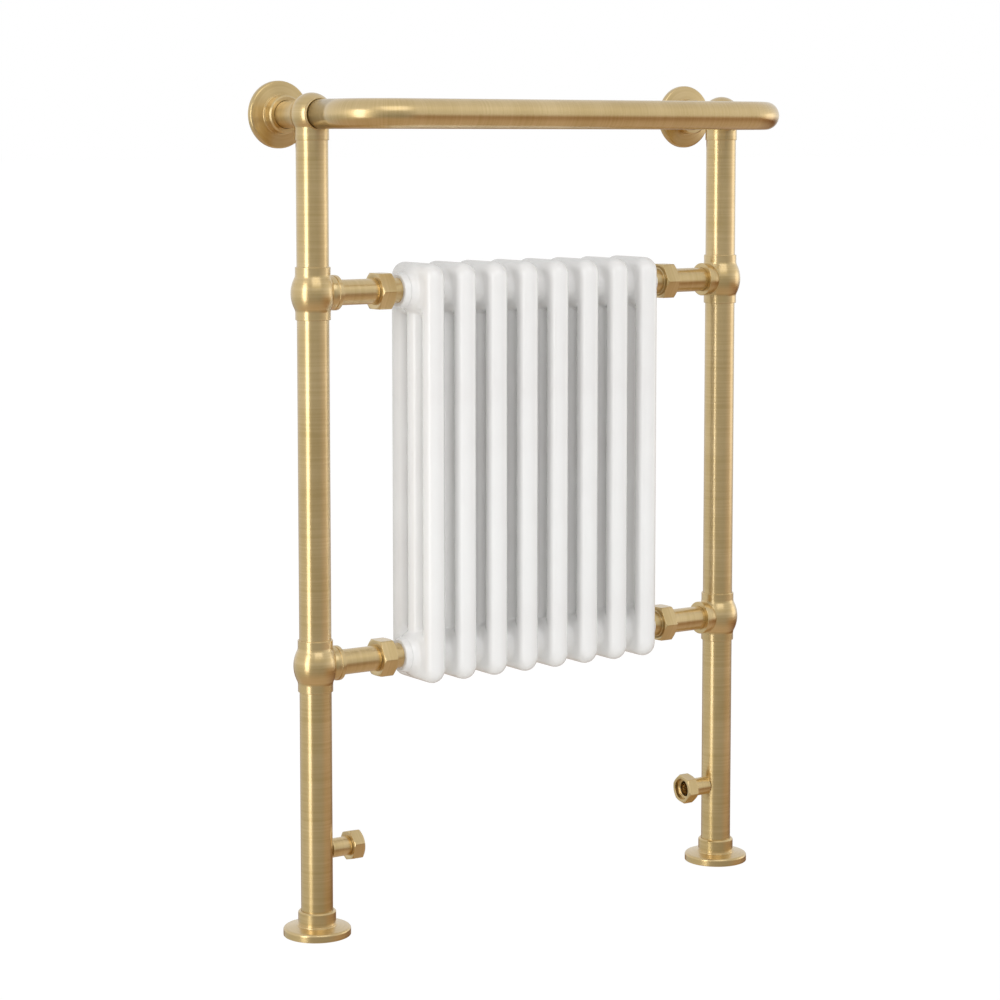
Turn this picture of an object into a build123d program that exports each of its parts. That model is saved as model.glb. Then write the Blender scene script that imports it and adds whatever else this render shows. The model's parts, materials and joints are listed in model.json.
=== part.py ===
from build123d import *
import os

# Floor-standing towel radiator: two ball-jointed posts carry a towel rail that
# overhangs in front, and a three-column radiator hangs between them on unions.
# Millimetres. X is the width, Y runs from the towel rail to the wall, Z is up.
# The origin is on the floor, under the middle of the outline seen from above.

# Frame
rail_top_height = 952.0
post_spacing = 581.5
rail_projection = 120.0
wall_distance = 78.0
joint_clearance = 0.05
sliding_clearance = 0.3
thread_clearance = 0.05
cut_margin = 10.0

# Tubes
post_diameter = 36.5
post_wall = 1.5
rail_diameter = 33.3
rail_wall = 1.5
rail_bend_radius = 55.0
stay_diameter = 31.5
stay_wall = 1.5
cross_tube_diameter = 29.0
cross_tube_wall = 1.5
spur_diameter = 22.0
spur_wall = 1.5

# Ball tees
tee_ball_diameter = 50.2
tee_ball_round = 38.0
tee_collar_diameter = 40.0
tee_reach = 29.75
tee_socket_depth = 14.0
tee_neck_radius = 10.0
tee_waterway = 24.0
collar_chamfer = 0.8

# Top elbows
elbow_ball_diameter = 48.0
elbow_collar_diameter = 38.6
elbow_reach = 29.0
elbow_socket_depth = 11.0
elbow_neck_radius = 4.0
side_socket_diameter = 36.6
side_socket_reach = 19.0
side_socket_depth = 10.0
elbow_waterway = 22.0

# Floor covers and the plates that they hide
floor_cover_diameter = 77.5
floor_cover_height = 28.5
floor_collar_diameter = 43.4
floor_plate_diameter = 68.0
floor_hole_circle = 54.0
floor_rim_height = 9.0
cover_rim_round = 2.8
cover_crown = 2.2
cover_bead_width = 1.4
cover_bead = 1.4
cover_lip = 1.6
cover_skin = 1.6
cover_edge_round = 0.6
plate_thickness = 3.0
plate_spigot = 12.0
plate_hole_count = 3
plate_hole_diameter = 5.5

# Wall covers
wall_cover_diameter = 76.6
wall_cover_height = 22.0
wall_collar_diameter = 43.4
wall_rim_height = 6.4
wall_plate_diameter = 66.0
wall_hole_circle = 51.0

# Inlets near the floor
inlet_height = 97.5
inlet_reach = 55.2
inlet_hex_length = 14.6
inlet_hex_size = 32.0
inlet_hex_turn = 15.0
inlet_thread_bore = 18.6
inlet_socket_depth = 3.0
hex_chamfer_slope = 0.6

# Radiator sections
section_count = 8
section_pitch = 43.4
column_count = 3
column_diameter = 25.2
column_spacing = 32.8
section_wall = 1.5
lower_port_height = 312.5
upper_port_height = 735.5
header_rise = 31.25
header_corner = 16.0
slot_inset = 29.0
edge_flat = 0.2
hub_root_diameter = 50.0
hub_face_diameter = 42.0
hub_bore = 34.0
hub_gasket = 0.8
hub_gasket_inset = 0.5
nipple_length = 26.0
nipple_wall = 3.0

# Unions between the cross tubes and the radiator
union_nut_size = 41.0
union_nut_length = 18.9
union_nut_lip = 3.7
union_thread_diameter = 33.2
union_flange_thickness = 2.0
union_flange_gap = 0.3
union_gasket_thickness = 1.5
tail_collar_diameter = 29.5
tail_collar_length = 12.5
tail_bore = 21.0
tail_spigot_diameter = 26.4
tail_spigot_length = 14.0
bush_thickness = 7.0
bush_nose_diameter = 37.0
bush_spigot_length = 12.0

# Air vent on the right-hand top elbow
vent_plug_diameter = 15.0
vent_plug_length = 7.0
vent_seat_depth = 1.2
vent_seat_margin = 0.5
vent_spigot_diameter = 10.0
vent_spigot_length = 8.0
vent_screw_diameter = 5.0
vent_screw_head_diameter = 8.0
vent_screw_head_length = 2.5
vent_slot_width = 1.2
vent_head_gap = 0.3

# Places worked out from the sizes above
outline_depth = wall_distance + rail_projection + rail_diameter / 2
post_line_y = outline_depth / 2 - wall_distance
post_x = post_spacing / 2
rail_height = rail_top_height - rail_diameter / 2
end_hub_face = (section_count * section_pitch - hub_gasket) / 2
tail_end = end_hub_face + bush_thickness
nut_inner_end = tail_end + tail_collar_length
nut_outer_end = nut_inner_end + union_nut_length
flange_outer_face = nut_outer_end - union_nut_lip - union_flange_gap
flange_inner_face = flange_outer_face - union_flange_thickness
tail_face = flange_inner_face - union_gasket_thickness


def rod(diameter, low, high, plane=Plane.XY):
    """A solid cylinder between two stations along the plane's normal."""
    length = high - low
    shape = Cylinder(diameter / 2, length, align=(Align.CENTER, Align.CENTER, Align.MIN))
    return plane * Pos(0, 0, low) * shape


def pipe(diameter, wall, low, high, plane=Plane.XY):
    """A tube between two stations along the plane's normal."""
    return rod(diameter, low, high, plane) - rod(diameter - 2 * wall, low, high, plane)


def turned(corners):
    """A part turned about Z from its half section, given as radius, height and corner round."""
    points = [(radius, height) for radius, height, _ in corners]
    rounds = [corner for _, _, corner in corners]
    section = make_face(FilletPolyline(*points, radius=rounds, close=True))
    return revolve(Plane.XZ * section, Axis.Z)


def hexagon(size, low, high, plane=Plane.XY, turn=0.0):
    """A hexagon bar across flats, its corners turned off at both ends."""
    corner_radius = size / 3 ** 0.5
    outline = Rot(0, 0, turn) * RegularPolygon(corner_radius, 6)
    bar = extrude(Pos(0, 0, low) * outline, amount=high - low)
    drop = (corner_radius - size / 2) * hex_chamfer_slope
    barrel = turned(
        [
            (0, low, 0),
            (size / 2, low, 0),
            (corner_radius, low + drop, 0),
            (corner_radius, high - drop, 0),
            (size / 2, high, 0),
            (0, high, 0),
        ]
    )
    return plane * (bar & barrel)


def ball_body(ball_diameter, ball_round, collar_diameter, low, high, neck_radius):
    """A ball, or a barrel with a larger round, and collars that blend into it, turned about Z."""
    collar = Pos(0, low) * Rectangle(collar_diameter, high - low, align=(Align.CENTER, Align.MIN))
    top = max(high, ball_diameter / 2)
    half_plane = Pos(0, low) * Rectangle(ball_diameter, top - low, align=(Align.MIN, Align.MIN))
    ball_middle = ball_diameter / 2 - ball_round
    outline = (collar + Pos(ball_middle, 0) * Circle(ball_round)) & half_plane
    neck_height = (ball_round ** 2 - (collar_diameter / 2 - ball_middle) ** 2) ** 0.5
    necks = [
        point
        for point in outline.vertices()
        if abs(abs(point.Y) - neck_height) < joint_clearance
    ]
    return revolve(Plane.XZ * fillet(necks, neck_radius), Axis.Z)


def socket(tube_diameter, reach, depth, plane):
    """The counterbore that a tube seats in, cut from a fitting's end inwards."""
    return rod(tube_diameter + 2 * joint_clearance, reach - depth, reach + cut_margin, plane)


def ball_tee():
    """A ball tee: sockets for the post above and below, and for the cross tube towards +X."""
    body = ball_body(
        tee_ball_diameter,
        tee_ball_round,
        tee_collar_diameter,
        -tee_reach,
        tee_reach,
        tee_neck_radius,
    )
    boss = rod(tee_collar_diameter, 0, tee_reach, Plane.YZ)
    boss = chamfer(boss.edges().sort_by(Axis.X)[-1], collar_chamfer)
    body = body + boss
    body = body - rod(tee_waterway, -tee_reach, tee_reach)
    body = body - rod(tee_waterway, 0, tee_reach, Plane.YZ)
    for plane in (Plane.XY, -Plane.XY):
        body = body - socket(post_diameter, tee_reach, tee_socket_depth, plane)
    return body - socket(cross_tube_diameter, tee_reach, tee_socket_depth, Plane.YZ)


def top_elbow():
    """The ball on top of a post, with sockets down, forwards for the rail and back for the stay."""
    body = ball_body(
        elbow_ball_diameter,
        elbow_ball_diameter / 2,
        elbow_collar_diameter,
        -elbow_reach,
        0,
        elbow_neck_radius,
    )
    for plane in (Plane.ZX, -Plane.ZX):
        ring = rod(side_socket_diameter, 0, side_socket_reach, plane)
        body = body + ring
    body = body - rod(elbow_waterway, -elbow_reach, 0)
    body = body - rod(elbow_waterway, 0, side_socket_reach, -Plane.ZX)
    body = body - socket(post_diameter, elbow_reach, elbow_socket_depth, -Plane.XY)
    body = body - socket(rail_diameter, side_socket_reach, side_socket_depth, -Plane.ZX)
    return body - socket(stay_diameter, side_socket_reach, side_socket_depth, Plane.ZX)


def vent_seat():
    """The flat and the hole that the air vent's plug needs in the elbow's outer side, along +X."""
    seat = elbow_ball_diameter / 2 - vent_seat_depth
    flat = rod(vent_plug_diameter + 2 * vent_seat_margin, seat, seat + cut_margin, Plane.YZ)
    hole = rod(vent_spigot_diameter + 2 * thread_clearance, 0, seat + cut_margin, Plane.YZ)
    return flat + hole


def vent_plug():
    """A round plug screwed into the elbow along +X, bored for the bleed screw."""
    seat = elbow_ball_diameter / 2 - vent_seat_depth
    head = rod(vent_plug_diameter, seat, seat + vent_plug_length, Plane.YZ)
    head = chamfer(head.edges().sort_by(Axis.X)[-1], collar_chamfer)
    spigot = rod(vent_spigot_diameter, seat - vent_spigot_length, seat, Plane.YZ)
    bore = rod(vent_screw_diameter, seat - vent_spigot_length, seat + vent_plug_length, Plane.YZ)
    return head + spigot - bore


def bleed_screw():
    """The slotted screw in the air vent's plug, along +X."""
    face = elbow_ball_diameter / 2 - vent_seat_depth + vent_plug_length
    shank_diameter = vent_screw_diameter - 2 * thread_clearance
    shank = rod(shank_diameter, face - vent_plug_length, face + vent_head_gap, Plane.YZ)
    head_low = face + vent_head_gap
    head = rod(vent_screw_head_diameter, head_low, head_low + vent_screw_head_length, Plane.YZ)
    slot = Box(2 * vent_slot_width, 2 * vent_screw_head_diameter, vent_slot_width)
    return shank + head - Pos(head_low + vent_screw_head_length, 0, 0) * slot


def mounting_plate(plate_diameter, hole_circle, tube_bore):
    """A screw-down disc with a spigot that plugs the tube above it."""
    plate = rod(plate_diameter, 0, plate_thickness)
    top = plate_thickness + plate_spigot
    plate = plate + rod(tube_bore - 2 * joint_clearance, plate_thickness, top)
    holes = [
        spot * rod(plate_hole_diameter, 0, plate_thickness)
        for spot in PolarLocations(hole_circle / 2, plate_hole_count)
    ]
    return plate - holes


def sliding_cover(cover_diameter, collar_diameter, height, rim_height, tube_diameter):
    """A spun disc with a collar, hollow underneath, that slides along a tube to bare the plate."""
    rim = cover_diameter / 2
    collar = collar_diameter / 2
    crown_height = rim_height + cover_crown
    bead_height = crown_height + cover_bead
    bore = tube_diameter / 2 + sliding_clearance
    return turned(
        [
            (rim - cover_skin, 0, 0),
            (rim, 0, cover_edge_round),
            (rim, rim_height, cover_rim_round),
            (collar + cover_bead_width, crown_height, 0),
            (collar + cover_bead_width, bead_height, cover_edge_round),
            (collar, bead_height, 0),
            (collar, height - cover_lip, 0),
            (collar - cover_lip, height, 0),
            (bore, height, 0),
            (bore, crown_height - cover_skin, 0),
            (rim - cover_skin, rim_height - cover_skin, 0),
        ]
    )


def inlet_spur():
    """The short pipe brazed into the post's side that carries the valve socket, along +X."""
    start = post_diameter / 2 - post_wall
    seat = inlet_reach - inlet_hex_length + inlet_socket_depth
    return pipe(spur_diameter, spur_wall, start, seat, Plane.YZ)


def inlet_socket():
    """The hexagonal female end of the inlet, along +X."""
    start = inlet_reach - inlet_hex_length
    body = hexagon(inlet_hex_size, start, inlet_reach, Plane.YZ, inlet_hex_turn)
    body = body - rod(inlet_thread_bore, start, inlet_reach, Plane.YZ)
    counterbore = spur_diameter + 2 * joint_clearance
    return body - rod(counterbore, start, start + inlet_socket_depth, Plane.YZ)


def post_tube(low, high):
    """One length of a post."""
    return pipe(post_diameter, post_wall, low, high)


def towel_rail():
    """The overhanging rail: forwards from both elbows, round two bends and across the front."""
    back = -(side_socket_reach - side_socket_depth)
    front = -rail_projection
    route = FilletPolyline(
        (-post_x, back, 0),
        (-post_x, front, 0),
        (post_x, front, 0),
        (post_x, back, 0),
        radius=rail_bend_radius,
    )
    start = Plane(origin=route @ 0, z_dir=route % 0)
    outside = sweep(start * Circle(rail_diameter / 2), path=route)
    inside = sweep(start * Circle(rail_diameter / 2 - rail_wall), path=route)
    return outside - inside


def cross_tube():
    """The tube from the union to a tee, with the flange that the nut pulls on."""
    tee_seat = post_x - tee_reach + tee_socket_depth
    tube = pipe(cross_tube_diameter, cross_tube_wall, flange_inner_face, tee_seat, Plane.YZ)
    flange_diameter = union_thread_diameter - 2 * union_flange_gap
    flange_wall = (flange_diameter - cross_tube_diameter) / 2 + cross_tube_wall
    flange = pipe(
        flange_diameter,
        flange_wall,
        flange_inner_face,
        flange_outer_face,
        Plane.YZ,
    )
    return tube + flange


def union_nut():
    """The hexagon union nut: a lip behind the tube's flange and a thread over the tail."""
    nut = hexagon(union_nut_size, nut_inner_end, nut_outer_end, Plane.YZ)
    thread = rod(
        union_thread_diameter + 2 * thread_clearance,
        nut_inner_end,
        nut_outer_end - union_nut_lip,
        Plane.YZ,
    )
    lip_bore = rod(
        cross_tube_diameter + 2 * thread_clearance,
        nut_inner_end,
        nut_outer_end,
        Plane.YZ,
    )
    return nut - thread - lip_bore


def union_gasket():
    """The flat ring between the cross tube's flange and the tail."""
    outside = union_thread_diameter - 2 * union_flange_gap
    wall = (outside - cross_tube_diameter) / 2 + cross_tube_wall
    return pipe(outside, wall, tail_face, flange_inner_face, Plane.YZ)


def radiator_tail():
    """The brass tail from the union into the radiator's end bush."""
    thread = rod(union_thread_diameter, nut_inner_end, tail_face, Plane.YZ)
    collar = rod(tail_collar_diameter, tail_end, nut_inner_end, Plane.YZ)
    spigot = rod(tail_spigot_diameter, tail_end - tail_spigot_length, tail_end, Plane.YZ)
    bore = rod(tail_bore, tail_end - tail_spigot_length, tail_face, Plane.YZ)
    return thread + collar + spigot - bore


def end_bush():
    """The enamelled bush that reduces the end hub to the tail."""
    nose = Pos(0, 0, end_hub_face) * Cone(
        hub_face_diameter / 2,
        bush_nose_diameter / 2,
        bush_thickness,
        align=(Align.CENTER, Align.CENTER, Align.MIN),
    )
    spigot_diameter = hub_bore - 2 * thread_clearance
    spigot = rod(spigot_diameter, end_hub_face - bush_spigot_length, end_hub_face)
    bore_diameter = tail_spigot_diameter + 2 * thread_clearance
    bore = rod(bore_diameter, end_hub_face - bush_spigot_length, tail_end)
    return Plane.YZ * (nose + spigot - bore)


def section_shell():
    """The outside of one section: a full-round plate, slotted between its columns, with four hubs."""
    depth = (column_count - 1) * column_spacing + column_diameter
    port_spacing = upper_port_height - lower_port_height
    middle = (upper_port_height + lower_port_height) / 2
    outline = RectangleRounded(depth, port_spacing + 2 * header_rise, header_corner)
    slot_width = column_spacing - column_diameter
    slot_length = port_spacing - 2 * slot_inset
    for gap in range(column_count - 1):
        across = (gap - (column_count - 2) / 2) * column_spacing
        outline = outline - Pos(across, 0) * SlotOverall(slot_length, slot_width, rotation=90)
    plate = extrude(Plane.YZ * Pos(0, middle) * outline, amount=column_diameter / 2, both=True)
    flanks = plate.faces().filter_by(Axis.X)
    return fillet(flanks.edges(), column_diameter / 2 - edge_flat)


def hub(height):
    """The tapered hubs on both flanks of a section at one port."""
    reach = (section_pitch - hub_gasket) / 2
    root = column_diameter / 2 - edge_flat
    cone = Pos(0, 0, root) * Cone(
        hub_root_diameter / 2,
        hub_face_diameter / 2,
        reach - root,
        align=(Align.CENTER, Align.CENTER, Align.MIN),
    )
    barrel = Pos(0, 0, height) * (Plane.YZ * cone)
    return barrel + mirror(barrel, about=Plane.YZ)


def section_hollow():
    """The water space of one section: its columns, its two headers and the bores of its hubs."""
    inner = column_diameter - 2 * section_wall
    header_height = header_rise + slot_inset - 2 * section_wall
    header_middle = (header_rise - slot_inset) / 2
    hollow = None
    for sign, port in ((1, upper_port_height), (-1, lower_port_height)):
        profile = RectangleRounded(inner, header_height, inner / 2 - edge_flat)
        length = (column_count - 1) * column_spacing
        header = extrude(Plane.XZ * profile, amount=length / 2, both=True)
        bore = rod(hub_bore, -section_pitch, section_pitch, Plane.YZ)
        header = Pos(0, 0, port) * (Pos(0, 0, sign * header_middle) * header + bore)
        hollow = header if hollow is None else hollow + header
    low = lower_port_height - header_rise + header_corner
    high = upper_port_height + header_rise - header_corner
    for column in range(column_count):
        across = (column - (column_count - 1) / 2) * column_spacing
        hollow = hollow + Pos(0, across, 0) * rod(inner, low, high)
    return hollow


def radiator_section():
    """One hollow three-column section, centred on X."""
    shell = section_shell()
    for port in (upper_port_height, lower_port_height):
        shell = shell + hub(port)
    return shell - section_hollow()


def hub_joints(ring):
    """One copy of a ring at each joint between neighbouring sections, at both ports."""
    joints = [
        Pos((joint - (section_count - 2) / 2) * section_pitch, 0, port) * ring
        for joint in range(section_count - 1)
        for port in (upper_port_height, lower_port_height)
    ]
    return Compound(joints)


def section_nipples():
    """The threaded nipples that join the sections."""
    half = nipple_length / 2
    diameter = hub_bore - 2 * thread_clearance
    return hub_joints(pipe(diameter, nipple_wall, -half, half, Plane.YZ))


def hub_gaskets():
    """The flat rings between the sections' hubs."""
    outside = hub_face_diameter - 2 * hub_gasket_inset
    wall = (outside - hub_bore) / 2 - hub_gasket_inset
    return hub_joints(pipe(outside, wall, -hub_gasket / 2, hub_gasket / 2, Plane.YZ))


def place(name, shape, x=0.0, z=0.0):
    """Writes one node, moved from the post line's frame to the object's."""
    export_step(Pos(x, post_line_y, z) * shape, f"parts/{name}.step")


def place_pair(name, shape, x=0.0, z=0.0):
    """Writes the left-hand node and its mirror image on the right; the shape is the left one's."""
    place(f"left_{name}", shape, -x, z)
    place(f"right_{name}", mirror(shape, about=Plane.YZ), x, z)


def place_posts():
    """The posts: plates, covers, tubes, tees and inlets."""
    plate = mounting_plate(floor_plate_diameter, floor_hole_circle, post_diameter - 2 * post_wall)
    cover = sliding_cover(
        floor_cover_diameter,
        floor_collar_diameter,
        floor_cover_height,
        floor_rim_height,
        post_diameter,
    )
    tee_seat = tee_reach - tee_socket_depth
    elbow_seat = elbow_reach - elbow_socket_depth
    inlet_hole = rod(spur_diameter + 2 * joint_clearance, 0, post_diameter, Plane.YZ)
    lower_tube = post_tube(plate_thickness, lower_port_height - tee_seat)
    lower_tube = lower_tube - Pos(0, 0, inlet_height) * inlet_hole
    place_pair("floor_plate", plate, post_x)
    place_pair("floor_cover", cover, post_x)
    place_pair("lower_tube", lower_tube, post_x)
    middle = post_tube(lower_port_height + tee_seat, upper_port_height - tee_seat)
    place_pair("middle_tube", middle, post_x)
    upper = post_tube(upper_port_height + tee_seat, rail_height - elbow_seat)
    place_pair("upper_tube", upper, post_x)
    place_pair("lower_tee", ball_tee(), post_x, lower_port_height)
    place_pair("upper_tee", ball_tee(), post_x, upper_port_height)
    place_pair("inlet_spur", inlet_spur(), post_x, inlet_height)
    place_pair("inlet_socket", inlet_socket(), post_x, inlet_height)


def place_top():
    """The elbows, the towel rail, the stays to the wall and the air vent."""
    wall = Plane.XZ.offset(-wall_distance)
    stay_seat = side_socket_reach - side_socket_depth
    plate = mounting_plate(wall_plate_diameter, wall_hole_circle, stay_diameter - 2 * stay_wall)
    cover = sliding_cover(
        wall_cover_diameter,
        wall_collar_diameter,
        wall_cover_height,
        wall_rim_height,
        stay_diameter,
    )
    stay = pipe(stay_diameter, stay_wall, stay_seat, wall_distance - plate_thickness, Plane.ZX)
    place("left_top_elbow", top_elbow(), -post_x, rail_height)
    place("right_top_elbow", top_elbow() - vent_seat(), post_x, rail_height)
    place("vent_plug", vent_plug(), post_x, rail_height)
    place("bleed_screw", bleed_screw(), post_x, rail_height)
    place("towel_rail", towel_rail(), 0, rail_height)
    place_pair("wall_stay", stay, post_x, rail_height)
    place_pair("wall_plate", wall * plate, post_x, rail_height)
    place_pair("wall_cover", wall * cover, post_x, rail_height)


def place_unions():
    """The four connections between the posts and the radiator."""
    for level, height in (("lower", lower_port_height), ("upper", upper_port_height)):
        for name, shape in (
            ("cross_tube", cross_tube()),
            ("union_nut", union_nut()),
            ("tail", radiator_tail()),
            ("end_bush", end_bush()),
        ):
            place(f"right_{level}_{name}", shape, 0, height)
            place(f"left_{level}_{name}", mirror(shape, about=Plane.YZ), 0, height)
    rings = [
        Pos(0, 0, height) * ring
        for height in (lower_port_height, upper_port_height)
        for ring in (union_gasket(), mirror(union_gasket(), about=Plane.YZ))
    ]
    place("union_gaskets", Compound(rings))


def place_radiator():
    """The sections and what joins them."""
    section = radiator_section()
    for number in range(section_count):
        x = (number - (section_count - 1) / 2) * section_pitch
        place(f"section_{number + 1}", section, x)
    place("section_nipples", section_nipples())
    place("hub_gaskets", hub_gaskets())


os.makedirs("parts", exist_ok=True)
place_posts()
place_top()
place_unions()
place_radiator()
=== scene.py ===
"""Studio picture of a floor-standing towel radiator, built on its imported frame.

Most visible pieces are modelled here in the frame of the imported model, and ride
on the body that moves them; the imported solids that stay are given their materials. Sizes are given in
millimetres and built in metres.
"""

import json
import logging
import math
from dataclasses import dataclass
from enum import Enum
from typing import Callable, Optional, Sequence

import bmesh
import bpy
from mathutils import Matrix, Vector

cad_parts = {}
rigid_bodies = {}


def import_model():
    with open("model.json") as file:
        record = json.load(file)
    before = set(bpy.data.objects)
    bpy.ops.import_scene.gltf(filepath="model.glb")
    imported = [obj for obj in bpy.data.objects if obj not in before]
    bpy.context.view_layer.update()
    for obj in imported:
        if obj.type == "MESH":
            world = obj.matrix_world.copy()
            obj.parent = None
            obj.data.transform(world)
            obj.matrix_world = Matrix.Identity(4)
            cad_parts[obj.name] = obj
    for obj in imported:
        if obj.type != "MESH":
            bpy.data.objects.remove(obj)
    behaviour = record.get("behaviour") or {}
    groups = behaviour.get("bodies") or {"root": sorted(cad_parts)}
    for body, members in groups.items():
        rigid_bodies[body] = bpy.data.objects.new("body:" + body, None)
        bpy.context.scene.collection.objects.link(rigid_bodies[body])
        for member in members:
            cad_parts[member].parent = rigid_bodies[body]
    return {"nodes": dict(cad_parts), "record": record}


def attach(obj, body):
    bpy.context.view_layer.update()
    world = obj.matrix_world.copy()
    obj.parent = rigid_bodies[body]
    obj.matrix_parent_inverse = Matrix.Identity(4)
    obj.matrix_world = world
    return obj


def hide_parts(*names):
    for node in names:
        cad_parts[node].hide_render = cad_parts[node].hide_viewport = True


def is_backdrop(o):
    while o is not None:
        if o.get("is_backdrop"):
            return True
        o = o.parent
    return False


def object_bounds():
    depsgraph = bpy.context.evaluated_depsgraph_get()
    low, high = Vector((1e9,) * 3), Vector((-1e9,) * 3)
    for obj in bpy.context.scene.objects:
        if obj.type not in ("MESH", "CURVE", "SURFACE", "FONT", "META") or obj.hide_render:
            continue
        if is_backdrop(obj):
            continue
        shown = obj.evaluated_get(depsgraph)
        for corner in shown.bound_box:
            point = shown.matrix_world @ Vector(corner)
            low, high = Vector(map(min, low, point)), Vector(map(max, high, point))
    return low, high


MM = 0.001
SURFACE_UV = "surface"

log = logging.getLogger("towel_radiator")

Ring = list[Vector]
Corner = tuple[float, float, float]
Station = tuple[float, float]
Limit = Callable[[float], float]


class Facing(Enum):
    """The row axis that a turned piece's own axis points along."""

    UP = (0.0, "X")
    DOWN = (math.pi, "X")
    RIGHT = (math.pi / 2, "Y")
    LEFT = (-math.pi / 2, "Y")
    WALL = (-math.pi / 2, "X")
    ROOM = (math.pi / 2, "X")

    def turn(self) -> Matrix:
        """Gives the turn that takes +Z to this direction.

        Returns:
            A 4 by 4 rotation.
        """
        angle, axis = self.value
        return Matrix.Rotation(angle, 4, axis)


class Side(Enum):
    """The two posts."""

    LEFT = -1
    RIGHT = 1

    @property
    def label(self) -> str:
        """The side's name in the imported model's node names."""
        return self.name.lower()

    @property
    def inwards(self) -> Facing:
        """The way from this post to the middle."""
        return Facing.RIGHT if self is Side.LEFT else Facing.LEFT

    @property
    def outwards(self) -> Facing:
        """The way from the middle to this post."""
        return Facing.LEFT if self is Side.LEFT else Facing.RIGHT


class Level(Enum):
    """The two heights at which the radiator joins the posts, in millimetres."""

    LOWER = 312.5
    UPPER = 735.5

    @property
    def label(self) -> str:
        """The level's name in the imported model's node names."""
        return self.name.lower()


def linear(hex_colour: str) -> tuple[float, float, float, float]:
    """Turns an sRGB colour into the linear one that shaders take.

    Args:
        hex_colour: Six hexadecimal digits after a hash.

    Returns:
        Red, green, blue and an alpha of one.
    """
    digits = hex_colour.lstrip("#")
    shares = [int(digits[place:place + 2], 16) / 255 for place in (0, 2, 4)]
    values = [s / 12.92 if s <= 0.04045 else ((s + 0.055) / 1.055) ** 2.4 for s in shares]
    return (values[0], values[1], values[2], 1.0)


def add_node(
    tree: bpy.types.NodeTree,
    kind: str,
    settings: Optional[dict] = None,
    values: Optional[dict] = None,
    links: Optional[dict] = None,
) -> bpy.types.Node:
    """Adds a node, sets it up and links what feeds it.

    Args:
        tree: The node tree.
        kind: The node's type name.
        settings: Properties of the node itself, by name.
        values: Unlinked input values, by socket name or number.
        links: Output sockets that feed the node, by input name or number.

    Returns:
        The new node.
    """
    node = tree.nodes.new(kind)
    for name, value in (settings or {}).items():
        setattr(node, name, value)
    for name, value in (values or {}).items():
        node.inputs[name].default_value = value
    for name, source in (links or {}).items():
        tree.links.new(source, node.inputs[name])
    return node


def add_ramp(
    tree: bpy.types.NodeTree, share: bpy.types.NodeSocket, tones: Sequence[tuple[float, str]]
) -> bpy.types.NodeSocket:
    """Adds a colour ramp.

    Args:
        tree: The node tree.
        share: The value that picks the place on the ramp.
        tones: Places from 0 to 1, each with its sRGB colour.

    Returns:
        The colour's socket.
    """
    node = add_node(tree, "ShaderNodeValToRGB", links={"Fac": share})
    stops = node.color_ramp.elements
    while len(stops) < len(tones):
        stops.new(0.5)
    for stop, (place, tone) in zip(stops, tones):
        stop.position = place
        stop.color = linear(tone)
    return node.outputs["Color"]


def blank_material(name: str) -> bpy.types.Material:
    """Makes a material with an empty node tree.

    Args:
        name: The material's name.

    Returns:
        The material.
    """
    material = bpy.data.materials.new(name)
    material.use_nodes = True
    material.node_tree.nodes.clear()
    return material


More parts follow.
